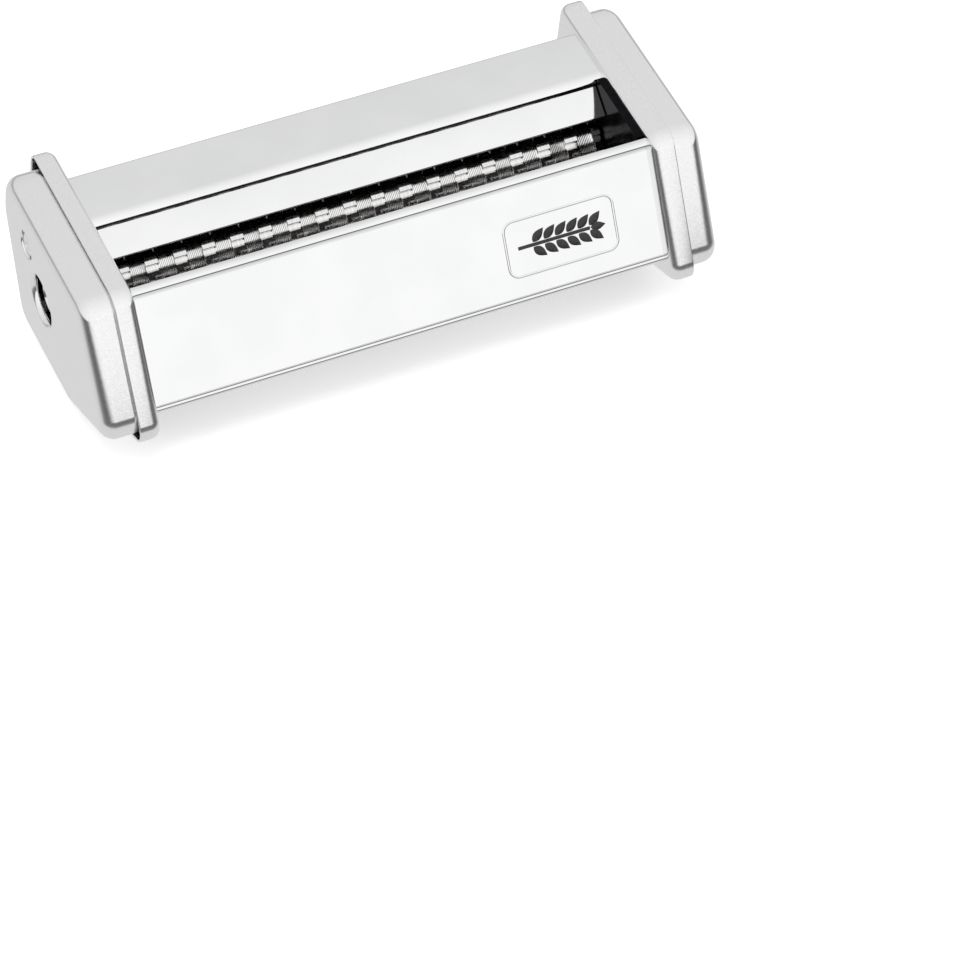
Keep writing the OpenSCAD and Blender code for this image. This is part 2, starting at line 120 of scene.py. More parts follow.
def sky_node(kind, **settings):
    node = sky.nodes.new(kind)
    for name, value in settings.items():
        setattr(node, name, value)
    return node


def sky_math(operation, a, b=None):
    node = sky_node("ShaderNodeMath", operation=operation)
    for slot, value in ((0, a), (1, b)):
        if value is None:
            continue
        if isinstance(value, (int, float)):
            node.inputs[slot].default_value = value
        else:
            sky.links.new(value, node.inputs[slot])
    return node.outputs[0]


def sky_ramp(value, low, high, at_low, at_high):
    node = sky_node("ShaderNodeMapRange", interpolation_type="SMOOTHSTEP")
    sky.links.new(value, node.inputs["Value"])
    for name, v in (("From Min", low), ("From Max", high), ("To Min", at_low), ("To Max", at_high)):
        node.inputs[name].default_value = v
    return node.outputs["Result"]


WALL_GLOW, WALL_FALL = 0.91, -0.17      # the tent's wall, and how it dims towards the back
TABLE_FRONT, TABLE_BACK = 0.22, 0.72
TABLE_UNDER = 0.74                      # straight below the machine
SEAM_DEPTH = 0.4                        # the share of light that the seam takes away

direction = sky_node("ShaderNodeTexCoord").outputs["Generated"]
parts = sky_node("ShaderNodeSeparateXYZ")
sky.links.new(direction, parts.inputs[0])
north, up = parts.outputs["Y"], parts.outputs["Z"]
tent_wall = sky_math("ADD", sky_math("MULTIPLY", north, WALL_FALL), WALL_GLOW)
table_far = sky_ramp(north, -0.3, 0.4, TABLE_FRONT, TABLE_BACK)
table_near = sky_ramp(up, -0.54, -0.26, TABLE_UNDER, 0.0)
table = sky_math("MAXIMUM", table_far, table_near)
above = sky_ramp(up, -0.03, 0.055, 0.0, 1.0)
seam_foot, seam_head = sky_ramp(up, -0.3, -0.18, 0.0, 1.0), sky_ramp(up, -0.06, 0.0, 1.0, 0.0)
seam = sky_math("MULTIPLY", seam_foot, seam_head)
below = sky_math("MULTIPLY", table, sky_math("SUBTRACT", 1.0, sky_math("MULTIPLY", seam, SEAM_DEPTH)))
upper_share = sky_math("MULTIPLY", tent_wall, above)
lower_share = sky_math("MULTIPLY", below, sky_math("SUBTRACT", 1.0, above))
glow = sky_math("ADD", upper_share, lower_share)
tent = sky_node("ShaderNodeBackground")
tent.inputs["Color"].default_value = (1.0, 1.0, 1.0, 1.0)
sky.links.new(glow, tent.inputs["Strength"])
sky.links.new(tent.outputs[0], sky_node("ShaderNodeOutputWorld").inputs["Surface"])
bpy.context.scene.view_settings.view_transform = "Standard"
print("sky nodes:", len(sky.nodes))

# %% [markdown]
# ## The lamp and the floor
# One soft lamp overhead lays a faint shadow under the machine. The floor is plain and pale.

# %% Lamp and floor
LAMP_AT = Vector((-0.25, -0.2, 1.1))
LAMP_WIDTH = 0.5         # metres
LAMP_POWER = 2.5         # watts
FLOOR_HALF = 3           # metres
FLOOR_GAP = 0.0002       # metres between the floor and the trays

lamp = bpy.data.lights.new("overhead_lamp", "AREA")
lamp.shape, lamp.size, lamp.energy = "SQUARE", LAMP_WIDTH, LAMP_POWER
lamp_holder = bpy.data.objects.new("overhead_lamp", lamp)
bpy.context.scene.collection.objects.link(lamp_holder)
lamp_holder.location = LAMP_AT
lamp_holder.visible_glossy = False
lamp_holder.rotation_euler = (-LAMP_AT).to_track_quat("-Z", "Y").to_euler()

floor_mesh = bpy.data.meshes.new("floor")
floor_corners = [(x * FLOOR_HALF, y * FLOOR_HALF, 0) for x, y in ((-1, -1), (1, -1), (1, 1), (-1, 1))]
floor_mesh.from_pydata(floor_corners, [], [(0, 1, 2, 3)])
floor = bpy.data.objects.new("floor", floor_mesh)
floor.location.z = cad_low.z - FLOOR_GAP
bpy.context.scene.collection.objects.link(floor)
floor.visible_glossy = False
print("floor at", round(floor.location.z / MM, 2), "mm")

# %% [markdown]
# ## Finishes
# Every finish is a small node tree on one Principled shader. Noise in object space varies the
# colour a little, moves the roughness and feeds a fine bump. Numbers that are the same all over
# a part are set on the shader itself.

# %% A maker of finishes


class Finish:
    """One material: a Principled shader and the noise that breaks up its surface."""

    def __init__(self, name, metallic, **constants):
        self.material = bpy.data.materials.new(name)
        self.material.use_nodes = True
        self.tree = self.material.node_tree
        self.shader = self.tree.nodes["Principled BSDF"]
        self.shader.inputs["Metallic"].default_value = metallic
        for socket, value in constants.items():
            self.shader.inputs[socket].default_value = value
        self.place = self.tree.nodes.new("ShaderNodeTexCoord").outputs["Object"]

    def noise(self, scale, stretch=(1, 1, 1), detail=3):
        """Noise whose grains are 1/scale metres, drawn out along an axis by a small stretch."""
        mapping = self.tree.nodes.new("ShaderNodeMapping")
        mapping.inputs["Scale"].default_value = [scale * s for s in stretch]
        self.tree.links.new(self.place, mapping.inputs["Vector"])
        node = self.tree.nodes.new("ShaderNodeTexNoise")
        node.inputs["Scale"].default_value = 1
        node.inputs["Detail"].default_value = detail
        self.tree.links.new(mapping.outputs[0], node.inputs["Vector"])
        return node.outputs["Fac"]

    def bands(self, step):
        """Light and dark bands across X, one every step metres, slightly uneven."""
        node = self.tree.nodes.new("ShaderNodeTexWave")
        node.bands_direction = "X"
        node.inputs["Scale"].default_value = math.pi / 10 / step
        node.inputs["Distortion"].default_value = 0.3
        node.inputs["Detail"].default_value = 2
        node.inputs["Detail Scale"].default_value = 1.5
        self.tree.links.new(self.place, node.inputs["Vector"])
        return node.outputs["Fac"]

    def colour(self, fac, dark, light, low=0.35, high=0.65):
        ramp = self.tree.nodes.new("ShaderNodeValToRGB")
        for stop, place, tint in zip(ramp.color_ramp.elements, (low, high), (dark, light)):
            stop.position, stop.color = place, (*tint, 1)
        self.tree.links.new(fac, ramp.inputs["Fac"])
        self.tree.links.new(ramp.outputs["Color"], self.shader.inputs["Base Color"])

    def roughness(self, fac, low, high):
        spread = self.tree.nodes.new("ShaderNodeMapRange")
        spread.inputs["From Min"].default_value = 0.3
        spread.inputs["From Max"].default_value = 0.7
        spread.inputs["To Min"].default_value = low
        spread.inputs["To Max"].default_value = high
        self.tree.links.new(fac, spread.inputs["Value"])
        self.tree.links.new(spread.outputs["Result"], self.shader.inputs["Roughness"])

    def bump(self, fac, strength, distance):
        bump = self.tree.nodes.new("ShaderNodeBump")
        bump.inputs["Strength"].default_value = strength
        bump.inputs["Distance"].default_value = distance
        self.tree.links.new(fac, bump.inputs["Height"])
        self.tree.links.new(bump.outputs["Normal"], self.shader.inputs["Normal"])


# %% [markdown]
# ### Polished sheet
# The panel, the cover, the badge frame and the screw heads are polished until they mirror. Real
# polishing leaves a faint haze in broad patches and hairlines along the wheel's travel.

# %% Polished sheet
polished = Finish("polished_sheet", 1.0)
haze = polished.noise(60, detail=2)
hairlines = polished.noise(900, stretch=(0.04, 1, 1), detail=2)
polished.colour(haze, (0.86, 0.863, 0.868), (0.89, 0.892, 0.896))
polished.roughness(haze, 0.05, 0.08)
polished.bump(hairlines, 0.04, 0.00002)

# %% [markdown]
# ### Satin pressings
# The trays and caps are drawn deep in a press and only brushed afterwards. They keep a fine
# speckle, so dark lines along their bends come out soft.

# %% Satin pressings
satin = Finish("satin_pressing", 1.0)
speckle = satin.noise(1800, detail=2)
grain = satin.noise(2600, detail=3)
satin.colour(grain, (0.845, 0.845, 0.847), (0.905, 0.905, 0.907))
satin.roughness(speckle, 0.12, 0.2)
satin.bump(speckle, 0.16, 0.00002)

# %% [markdown]
# ### Inside faces
# The inside faces of the pressings get a near-black colour that is painted shade. The rollers
# mirror that darkness, and it is what makes the slot above them look deep.

# %% Inside faces
painted_shade_inside = Finish("inside_painted_shade", 1.0)
inside_speckle = painted_shade_inside.noise(300, detail=4)
# Near-black painted shade with a faint speckle.
painted_shade_inside.colour(inside_speckle, (0.09, 0.09, 0.092), (0.16, 0.16, 0.162))
painted_shade_inside.roughness(inside_speckle, 0.35, 0.55)
painted_shade_inside.bump(inside_speckle, 0.2, 0.00005)

# %% [markdown]
# ### Turned steel
# The rollers are turned on a lathe. Their groove floors keep the tool's fine rings, whose light and
# dark bands paint the ridges' glint and shade, and the fluted lands stay bright. The front roller,
# behind the panel, has a darker copy of the finish as painted shade.

# %% Turned steel
TOOL_STEP = 0.52         # millimetres the lathe tool moved on each turn
turned = Finish("turned_steel", 1.0)
tool_rings = turned.noise(2600, stretch=(1, 0.02, 0.02), detail=2)
patches = turned.noise(240, detail=3)
turned.colour(tool_rings, (0.76, 0.755, 0.75), (0.88, 0.875, 0.87))
turned.roughness(patches, 0.04, 0.10)
turned.bump(tool_rings, 0.2, 0.00003)

grooved = Finish("turned_groove", 1.0)
tool_marks_and_glint = grooved.bands(TOOL_STEP * MM)
# The colour bands follow the real tool marks and paint the glint and shade of their ridges.
grooved.colour(tool_marks_and_glint, (0.42, 0.415, 0.41), (0.97, 0.965, 0.96), low=0.15, high=0.6)
grooved.roughness(grooved.noise(900, detail=4), 0.1, 0.2)
grooved.bump(tool_marks_and_glint, 0.3, 0.00006)

shaded = Finish("turned_steel_painted_shade", 1.0)
shade_patches = shaded.noise(240, detail=3)
# A darker copy of the turned finish: painted shade for the roller that sits in shade behind the panel.
shaded.colour(shade_patches, (0.30, 0.29, 0.28), (0.50, 0.49, 0.47))
shaded.roughness(shade_patches, 0.18, 0.3)
shaded.bump(shaded.noise(2600, stretch=(1, 0.02, 0.02), detail=2), 0.25, 0.00003)

# %% [markdown]
# ### The quieter finishes
# The bearing plates are black mouldings that throw back very little light. Bushings are natural
# nylon, the badge's mark is dark enamel, combs and rods are plain steel, gears are cut from a
# warmer steel and clips are oiled spring steel.

# %% Quiet finishes
black_plate = Finish("black_moulding", 0.0, **{"Specular IOR Level": 0.03})
moulding = black_plate.noise(350)
black_plate.colour(moulding, (0.003, 0.003, 0.004), (0.006, 0.006, 0.007))
black_plate.roughness(moulding, 0.12, 0.22)
black_plate.bump(moulding, 0.05, 0.00005)

milky = {"Subsurface Weight": 0.1, "Subsurface Radius": (0.002, 0.002, 0.0015)}
nylon = Finish("natural_nylon", 0.0, **milky)
nylon_grain = nylon.noise(500)
nylon.colour(nylon_grain, (0.74, 0.73, 0.68), (0.82, 0.81, 0.77))
nylon.roughness(nylon_grain, 0.35, 0.5)
nylon.bump(nylon_grain, 0.1, 0.00005)

enamel = Finish("dark_enamel", 0.0, **{"Coat Weight": 0.2})
enamel_grain = enamel.noise(1500, detail=4)
enamel.colour(enamel_grain, (0.006, 0.006, 0.007), (0.02, 0.02, 0.022))
enamel.roughness(enamel_grain, 0.3, 0.5)
enamel.bump(enamel_grain, 0.5, 0.0001)

plain_steel = Finish("plain_steel", 1.0)
rolled = plain_steel.noise(700, stretch=(0.05, 1, 1))
plain_steel.colour(rolled, (0.50, 0.50, 0.51), (0.66, 0.66, 0.67))
plain_steel.roughness(rolled, 0.22, 0.38)
plain_steel.bump(rolled, 0.15, 0.00004)

oiled_steel = Finish("oiled_spring_steel", 1.0)
oil = oiled_steel.noise(400)
oiled_steel.colour(oil, (0.05, 0.05, 0.055), (0.14, 0.14, 0.15))
oiled_steel.roughness(oil, 0.25, 0.45)
oiled_steel.bump(oil, 0.1, 0.00004)

gear_steel = Finish("cut_gear_steel", 1.0)
cut = gear_steel.noise(1200, stretch=(0.1, 1, 1))
gear_steel.colour(cut, (0.46, 0.44, 0.40), (0.58, 0.56, 0.52))
gear_steel.roughness(cut, 0.25, 0.4)
gear_steel.bump(cut, 0.15, 0.00004)

pale_glow = {"Specular IOR Level": 0.2, "Emission Color": (1, 1, 1, 1), "Emission Strength": 0.45}
floor_finish = Finish("pale_floor", 0.0, **pale_glow)
paper = floor_finish.noise(40)
floor_finish.colour(paper, (0.87, 0.87, 0.87), (0.88, 0.88, 0.88))
floor_finish.roughness(paper, 0.8, 0.9)
floor_mesh.materials.append(floor_finish.material)
print("finishes:", len(bpy.data.materials))

# %% [markdown]
# ## The side outline
# Each end of the head has the same six-sided outline with rounded corners. A tray, its lip and
# the cap nested in it are all moved inwards from that one outline. Corners keep their centres
# while the radius shrinks, so every ring of points has the same count and can be skinned.

# %% Outline helpers
SHEET = 0.8
OUTLINE = [(30, 28.3), (-33.9, 28.3), (-54.2, -11.8), (-20, -25.8), (21, -25.8), (32.5, 11)]
TRAY_RADII = [5, 6, 6, 9, 8, 12]
CAP_RADII = [10, 7, 7, 9, 8, 12]
CORNER_STEPS = 14


def edge_direction(i):
    a, b = (Vector(OUTLINE[k % len(OUTLINE)]) for k in (i, i + 1))
    return (b - a).normalized()


def corner_centre(i, inset):
    """Corner i of the outline after every side has moved inwards by inset."""
    a, b = edge_direction(i - 1), edge_direction(i)
    return Vector(OUTLINE[i]) + (b - a) * inset / (a.x * b.y - a.y * b.x)


def outline_ring(inset, radii, cut=0.0):
    """Points of the rounded outline in millimetres about the driven axis."""
    ring = []
    for i, radius in enumerate(radii):
        centre = corner_centre(i, inset + radius)
        a, b = edge_direction(i - 1), edge_direction(i)
        start = math.atan2(-a.x, a.y)
        sweep = math.acos(max(-1, min(1, a.dot(b))))
        for k in range(CORNER_STEPS + 1):
            angle = start + sweep * k / CORNER_STEPS
            ring.append(centre + (radius - cut) * Vector((math.cos(angle), math.sin(angle))))
    return ring


print("points in one outline ring:", len(outline_ring(0, TRAY_RADII)))

# %% [markdown]
# ## Small mesh tools
# A few helpers do nearly all of the modelling: make a ring of points, skin rings to each other,
# fill a flat face that has holes in it, and turn the finished mesh into a piece that rides on a
# body.

# %% Mesh tools


def ring_verts(bm, points, x):
    """A ring at x millimetres from points given in millimetres about the driven axis."""
    y0, z0 = driven_axis.y, driven_axis.z
    return [bm.verts.new((x * MM, y0 + y * MM, z0 + z * MM)) for y, z in points]


def skin(bm, a, b):
    """Quads between two closed rings with the same number of points."""
    n = len(a)
    for k in range(n):
        bm.faces.new((a[k], a[(k + 1) % n], b[(k + 1) % n], b[k]))


def skin_row(bm, rings, closed=False):
    """Skin every ring in a row to the next one, and the last to the first if closed."""
    for a, b in zip(rings, rings[1:] + rings[:1] if closed else rings[1:]):
        skin(bm, a, b)


def close_flat(bm, rings):
    """One flat face bounded by the first ring, with the other rings as holes."""
    edges = []
    for ring in rings:
        for k in range(len(ring)):
            pair = (ring[k], ring[(k + 1) % len(ring)])
            edges.append(bm.edges.get(pair) or bm.edges.new(pair))
    bmesh.ops.triangle_fill(bm, use_beauty=True, use_dissolve=False, edges=edges)


def circle_points(centre, radius, count=64):
    angles = [2 * math.pi * k / count for k in range(count)]
    return [(centre[0] + radius * math.cos(t), centre[1] + radius * math.sin(t)) for t in angles]


def arc(start, end, steps):
    """Angles in radians from start to end degrees, ends included."""
    return [math.radians(start + (end - start) * k / steps) for k in range(steps + 1)]


def make_piece(name, bm, finish, body, stands_for=(), mirror=False, crease=35, second=None, picks=None):
    """Store a finished mesh as a piece; faces that picks() chooses get the second finish."""
    if mirror:
        bmesh.ops.scale(bm, vec=(-1, 1, 1), verts=bm.verts)
    bmesh.ops.remove_doubles(bm, verts=bm.verts, dist=1e-7)
    bmesh.ops.recalc_face_normals(bm, faces=bm.faces)
    mesh = bpy.data.meshes.new(name)
    bm.to_mesh(mesh)
    bm.free()
    piece = bpy.data.objects.new(name, mesh)
    bpy.context.scene.collection.objects.link(piece)
    for face in mesh.polygons:
        face.use_smooth = True
    mesh.set_sharp_from_angle(angle=math.radians(crease))
    mesh.materials.append(finish.material)
    if second:
        mesh.materials.append(second.material)
        for face in mesh.polygons:
            face.material_index = 1 if picks(face) else 0
    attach(piece, body)
    if stands_for:
        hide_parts(*stands_for)
    print(f"{name}: {len(mesh.polygons)} faces")
    return piece


# %% [markdown]
# ## Side trays
# Each tray is one pressing: a flat floor towards the rollers, a soft bend, a rim turned
# outwards and a thin lip. We follow the section of that pressing from the floor round the bend,
# over the lip and back inside, and skin every step.

# %% Side trays
tray_low, tray_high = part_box("right_side_tray")
TRAY_FLOOR = tray_low.x / MM
LIP = tray_high.x / MM
TRAY_BEND = 3.0
LIP_ROUND = 0.35
RODS = [(-33.2, -11.6), (12.6, -13.4), (15.3, 18.6)]
ROD_BORE = 2.25                               # radii of the holes in a tray's floor
CRANK_BORE, STUB_BORE, SHAFT_BORE = 8.25, 6.45, 7.05
idler_offset = ((idler_axis.y - driven_axis.y) / MM, (idler_axis.z - driven_axis.z) / MM)


def side_tray(name, mirror, bores):
    bm = bmesh.new()
    section = [
        (TRAY_FLOOR + TRAY_BEND * (1 - math.cos(t)), TRAY_BEND * (1 - math.sin(t))) for t in arc(0, 90, 10)
    ]
    section += [
        (LIP - LIP_ROUND * (1 - math.sin(t)), LIP_ROUND * (1 - math.cos(t))) for t in arc(0, 90, 3)
    ]
    section += [
        (LIP - LIP_ROUND * (1 - math.cos(t)), SHEET - LIP_ROUND * (1 - math.sin(t))) for t in arc(0, 90, 3)
    ]
    inner = TRAY_BEND - SHEET
    section += [
        (TRAY_FLOOR + SHEET + inner * (1 - math.cos(t)), SHEET + inner * (1 - math.sin(t)))
        for t in arc(90, 0, 8)
    ]
    rings = [ring_verts(bm, outline_ring(0, TRAY_RADII, cut), x) for x, cut in section]
    skin_row(bm, rings)
    holes = [circle_points(at, radius) for at, radius in bores]
    near = [ring_verts(bm, hole, TRAY_FLOOR) for hole in holes]
    far = [ring_verts(bm, hole, TRAY_FLOOR + SHEET) for hole in holes]
    for a, b in zip(near, far):
        skin(bm, a, b)
    close_flat(bm, [rings[0], *near])
    close_flat(bm, [rings[-1], *far])
    make_piece(name, bm, satin, "frame", [name], mirror)


rod_bores = [(rod, ROD_BORE) for rod in RODS]
side_tray("left_side_tray", True, [((0, 0), CRANK_BORE), (idler_offset, STUB_BORE), *rod_bores])
side_tray("right_side_tray", False, [((0, 0), SHAFT_BORE), (idler_offset, SHAFT_BORE), *rod_bores])

# %% [markdown]
# ## End caps
# A cap is a shallow dome that drops inside the tray's rim and leaves a thin dark gap. Its screw
# sits in a pressed dimple. The crank side has a hole with a bright rolled edge.

# %% End caps
cap_low, cap_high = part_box("right_end_cap")
CAP_FOOT = cap_low.x / MM
CAP_FACE = cap_high.x / MM
CAP_WALL = 0.9
CAP_GAP = 1.0            # the dark line between cap and tray rim
CAP_INSET = SHEET + CAP_GAP
CAP_EDGE = 4.4
FLAT_RIM = 0.4           # a flat ring beside each bend keeps the broad face level in the light
SCREW = (10.7, 12.0)
DIMPLE, DIMPLE_DEPTH = 4.2, 2.0
DIMPLE_EASE = 0.6
SCREW_BORE = 1.9
CRANK_HOLE = 7.5
COLLAR = 1.8             # how deep the crank hole's rolled edge goes


def hole_section(bm, centre, steps):
    """Skin a round pressed hole from (radius, x) steps and return its first and last rings."""
    rings = [ring_verts(bm, circle_points(centre, radius), x) for radius, x in steps]
    skin_row(bm, rings)
    return rings[0], rings[-1]


def dimple_steps():
    """From the cap's face over an eased edge to the dimple's floor, then back behind the wall."""
    floor_x = CAP_FACE - DIMPLE_DEPTH
    steps = [(DIMPLE + DIMPLE_EASE + FLAT_RIM, CAP_FACE)]
    for t in arc(0, 90, 5):
        steps.append((DIMPLE + DIMPLE_EASE * (1 - math.sin(t)), CAP_FACE - DIMPLE_EASE * (1 - math.cos(t))))
    steps += [(DIMPLE, floor_x + 0.2), (DIMPLE - 0.2, floor_x)]
    steps += [(SCREW_BORE, floor_x), (SCREW_BORE, floor_x - CAP_WALL)]
    return steps + [(DIMPLE + CAP_WALL, floor_x - CAP_WALL), (DIMPLE + CAP_WALL, CAP_FACE - CAP_WALL)]


def collar_steps():
    """The crank hole's edge, each step given as (out from the hole, in from the face)."""
    steps = [(0.9 + FLAT_RIM, 0), (0.9, 0), (0.75, 0.05), (0.15, 0.7), (0, 0.95)]
    steps += [(0, COLLAR), (0.7, COLLAR), (1.2, CAP_WALL)]
    return [(CRANK_HOLE + out, CAP_FACE - sunk) for out, sunk in steps]


def end_cap(name, mirror, with_crank_hole):
    bm = bmesh.new()
    inner = CAP_EDGE - CAP_WALL
    turn_x = CAP_FACE - CAP_EDGE
    section = [(CAP_FOOT, CAP_WALL), (CAP_FOOT, 0)]
    section += [(turn_x + CAP_EDGE * math.sin(t), CAP_EDGE * (1 - math.cos(t))) for t in arc(0, 90, 14)]
    section.append((CAP_FACE, CAP_EDGE + FLAT_RIM))
    outer = [ring_verts(bm, outline_ring(CAP_INSET, CAP_RADII, cut), x) for x, cut in section]
    section = [(CAP_FOOT, CAP_WALL)]
    section += [
        (turn_x + inner * math.sin(t), CAP_WALL + inner * (1 - math.cos(t))) for t in arc(0, 90, 6)
    ]
    inside = [ring_verts(bm, outline_ring(CAP_INSET, CAP_RADII, cut), x) for x, cut in section]
    skin_row(bm, outer)
    skin_row(bm, inside)
    openings = [hole_section(bm, SCREW, dimple_steps())]
    if with_crank_hole:
        openings.append(hole_section(bm, (0, 0), collar_steps()))
    close_flat(bm, [outer[-1], *[o[0] for o in openings]])
    close_flat(bm, [inside[-1], *[o[1] for o in openings]])
    make_piece(name, bm, satin, "frame", [name], mirror)


end_cap("left_end_cap", mirror=True, with_crank_hole=True)
end_cap("right_end_cap", mirror=False, with_crank_hole=False)

# %% [markdown]
# ## Cap screws
# A low domed head with a cross recess. The head is a turned profile and the recess is cut with a
# tapered cross, as the punch that forms it is tapered.

# %% Cap screws
HEAD, SHANK = 3.5, 1.6
SHANK_LENGTH = 8
HEAD_EDGE, HEAD_RISE = 0.9, 1.0
CROSS_ANGLES = (20, 110)
CROSS_LEVELS = ((0.6, 1.2, 0.28), (2.2, 2.1, 0.45))   # height over the seat, half length, half width


def cross_punch(seat, mirror):
    """The tapered cross that forms the recess, as an object of its own."""
    bm = bmesh.new()
    for turned_by in CROSS_ANGLES:
        spin = Matrix.Rotation(math.radians(turned_by), 2)
        levels = []
        for height, long, wide in CROSS_LEVELS:
            corners = [Vector(c) for c in ((-long, -wide), (long, -wide), (long, wide), (-long, wide))]
            levels.append(ring_verts(bm, [Vector(SCREW) + spin @ c for c in corners], seat + height))
        skin(bm, *levels)
        bm.faces.new(levels[0])
        bm.faces.new(levels[1])
    if mirror:
        bmesh.ops.scale(bm, vec=(-1, 1, 1), verts=bm.verts)
    bmesh.ops.recalc_face_normals(bm, faces=bm.faces)
    mesh = bpy.data.meshes.new("cross_punch")
    bm.to_mesh(mesh)
    bm.free()
    punch = bpy.data.objects.new("cross_punch", mesh)
    bpy.context.scene.collection.objects.link(punch)
    return punch


def cap_screw(name, mirror):
    seat = CAP_FACE - DIMPLE_DEPTH
    bm = bmesh.new()
    head = [(SHANK, seat - SHANK_LENGTH), (SHANK, seat)]
    head += [(HEAD - 0.05, seat), (HEAD + 0.05, seat + 0.15), (HEAD, seat + HEAD_EDGE)]
    head += [(HEAD * math.cos(t), seat + HEAD_EDGE + HEAD_RISE * math.sin(t)) for t in arc(12, 84, 8)]
    rings = [ring_verts(bm, circle_points(SCREW, radius, 48), x) for radius, x in head]
    skin_row(bm, rings)
    close_flat(bm, [rings[0]])
    close_flat(bm, [rings[-1]])
    screw = make_piece(name, bm, polished, "frame", [name], mirror)
    punch = cross_punch(seat, mirror)
    recess = screw.modifiers.new("recess", "BOOLEAN")
    recess.operation, recess.object, recess.use_self = "DIFFERENCE", punch, True
    shown = screw.evaluated_get(bpy.context.evaluated_depsgraph_get())
    cut_mesh = bpy.data.meshes.new_from_object(shown)
    screw.modifiers.clear()
    screw.data = cut_mesh
    bpy.data.objects.remove(punch)
    print(f"{name}: {len(cut_mesh.polygons)} faces with the recess cut")


cap_screw("left_cap_screw", True)
cap_screw("right_cap_screw", False)

# %% [markdown]
# ## Front panel
# One folded strip, slanted like the tray's front edge. Its top edge is rolled into a bead with a
# fine crease under it, and its foot has a shallow groove and a small rounded lip. A strip like
# this is the same section all the way along, so we draw the section once and pull it along X.

# %% Front panel
LEAN = math.radians(26.92)
PANEL_TOP = Vector((-31.64, 23.28))
DOWN = Vector((-math.sin(LEAN), -math.cos(LEAN)))
INWARD = Vector((math.cos(LEAN), -math.sin(LEAN)))
PANEL_RUN = 31.96
BEAD_CENTRE = (-1.3, 1.1)
BEAD = 1.6


def on_panel(down, inward):
    """A point given down the panel's face and inwards from it."""
    return PANEL_TOP + DOWN * down + INWARD * inward


def pull_along(bm, section, x0, x1):
    """A solid bar with the given closed section from x0 to x1 millimetres."""
    a, b = ring_verts(bm, section, x0), ring_verts(bm, section, x1)
    skin(bm, a, b)
    close_flat(bm, [a])
    close_flat(bm, [b])


bead = [
    (BEAD_CENTRE[0] + BEAD * math.cos(t), BEAD_CENTRE[1] + BEAD * math.sin(t)) for t in arc(12, 328, 40)
]
foot = [(PANEL_RUN - 0.05, 0.0), (PANEL_RUN + 0.05, 0.4), (PANEL_RUN + 0.5, 0.42), (PANEL_RUN + 0.62, 0.12)]
foot += [
    (PANEL_RUN + 1.15 + 1.12 * math.cos(t), 0.9 + 0.95 * math.sin(t)) for t in arc(-105, 0, 12)
]
foot += [(PANEL_RUN + 2.27, 4.0), (PANEL_RUN + 1.5, 4.0), (PANEL_RUN + 1.5, 1.3), (PANEL_RUN - 0.8, 1.2)]
foot += [(PANEL_RUN - 0.9, 0.8)]
panel_section = bead + [(0.16, 0.12), (0.34, 0.0)] + foot + [(0.6, 0.8)]
bm = bmesh.new()
pull_along(bm, [on_panel(*p) for p in panel_section], -TRAY_FLOOR, TRAY_FLOOR)
inwards = Vector((0, INWARD.x, INWARD.y))
# Faces turned inwards get the near-black inside finish, which is painted shade.
make_piece(
    "front_panel", bm, polished, "frame", ["front_panel"], crease=30,
    second=painted_shade_inside, picks=lambda face: face.normal.dot(inwards) > 0.35,
)

# %% [markdown]
# ## Badge
# The panel carries a raised frame with a mark in it. The frame is a fine half-round ridge pressed
# in the steel. The mark is an ear of wheat in dark enamel: a stem and rows of plump grains.

# %% Badge frame
BADGE_X, BADGE_DOWN = 47.8, 17.9
BADGE_WIDE, BADGE_TALL, BADGE_CORNER = 33.6, 16.6, 3.0
RIDGE_HALF, RIDGE_RISE = 0.38, 0.24
ROOTED = 0.02            # how far raised shapes reach into the panel


def panel_vert(bm, x, down, out):
    """A vertex on the panel: x along it, then down its face, then out of the face."""
    at = on_panel(down, -out)
    return bm.verts.new((x * MM, driven_axis.y + at.x * MM, driven_axis.z + at.y * MM))


def rounded_box(wide, tall, corner, steps=10):
    ring = []
    for quarter, (sx, sy) in enumerate(((1, 1), (-1, 1), (-1, -1), (1, -1))):
        x0, y0 = sx * (wide / 2 - corner), sy * (tall / 2 - corner)
        for t in arc(90 * quarter, 90 * quarter + 90, steps):
            ring.append((x0 + corner * math.cos(t), y0 + corner * math.sin(t)))
    return ring


bm = bmesh.new()
rings = []
for t in arc(0, 180, 8):
    grow = RIDGE_HALF * math.cos(t)
    loop = rounded_box(BADGE_WIDE + 2 * grow, BADGE_TALL + 2 * grow, BADGE_CORNER + grow)
    out = RIDGE_RISE * math.sin(t) - ROOTED
    rings.append([panel_vert(bm, BADGE_X + x, BADGE_DOWN + d, out) for x, d in loop])
skin_row(bm, rings, closed=True)
make_piece("badge_frame", bm, polished, "frame", ["maker_badge"])

# %% Badge mark
MARK_RISE = 0.16


def grain_outline(long, wide, steps=12):
    """A pointed oval, long at one end like a grain."""
    side = [(long * k / steps, wide * math.sin(math.pi * (k / steps) ** 0.8)) for k in range(1, steps)]
    return [(0, 0), *side, (long, 0), *[(p, -q) for p, q in reversed(side)]]


def raised_shape(bm, outline):
    """A low enamelled shape with a softened top edge, its outline given about the badge's middle."""
    points = [Vector((BADGE_X + x, BADGE_DOWN + d)) for x, d in outline]
    middle = sum(points, Vector((0, 0))) / len(points)
    levels = []
    for out, shrink in ((-ROOTED, 1.0), (MARK_RISE * 0.7, 1.0), (MARK_RISE, 0.88)):
        levels.append([panel_vert(bm, *(middle + (point - middle) * shrink), out) for point in points])
    skin_row(bm, levels)
    bm.faces.new(levels[0])
    bm.faces.new(levels[-1])


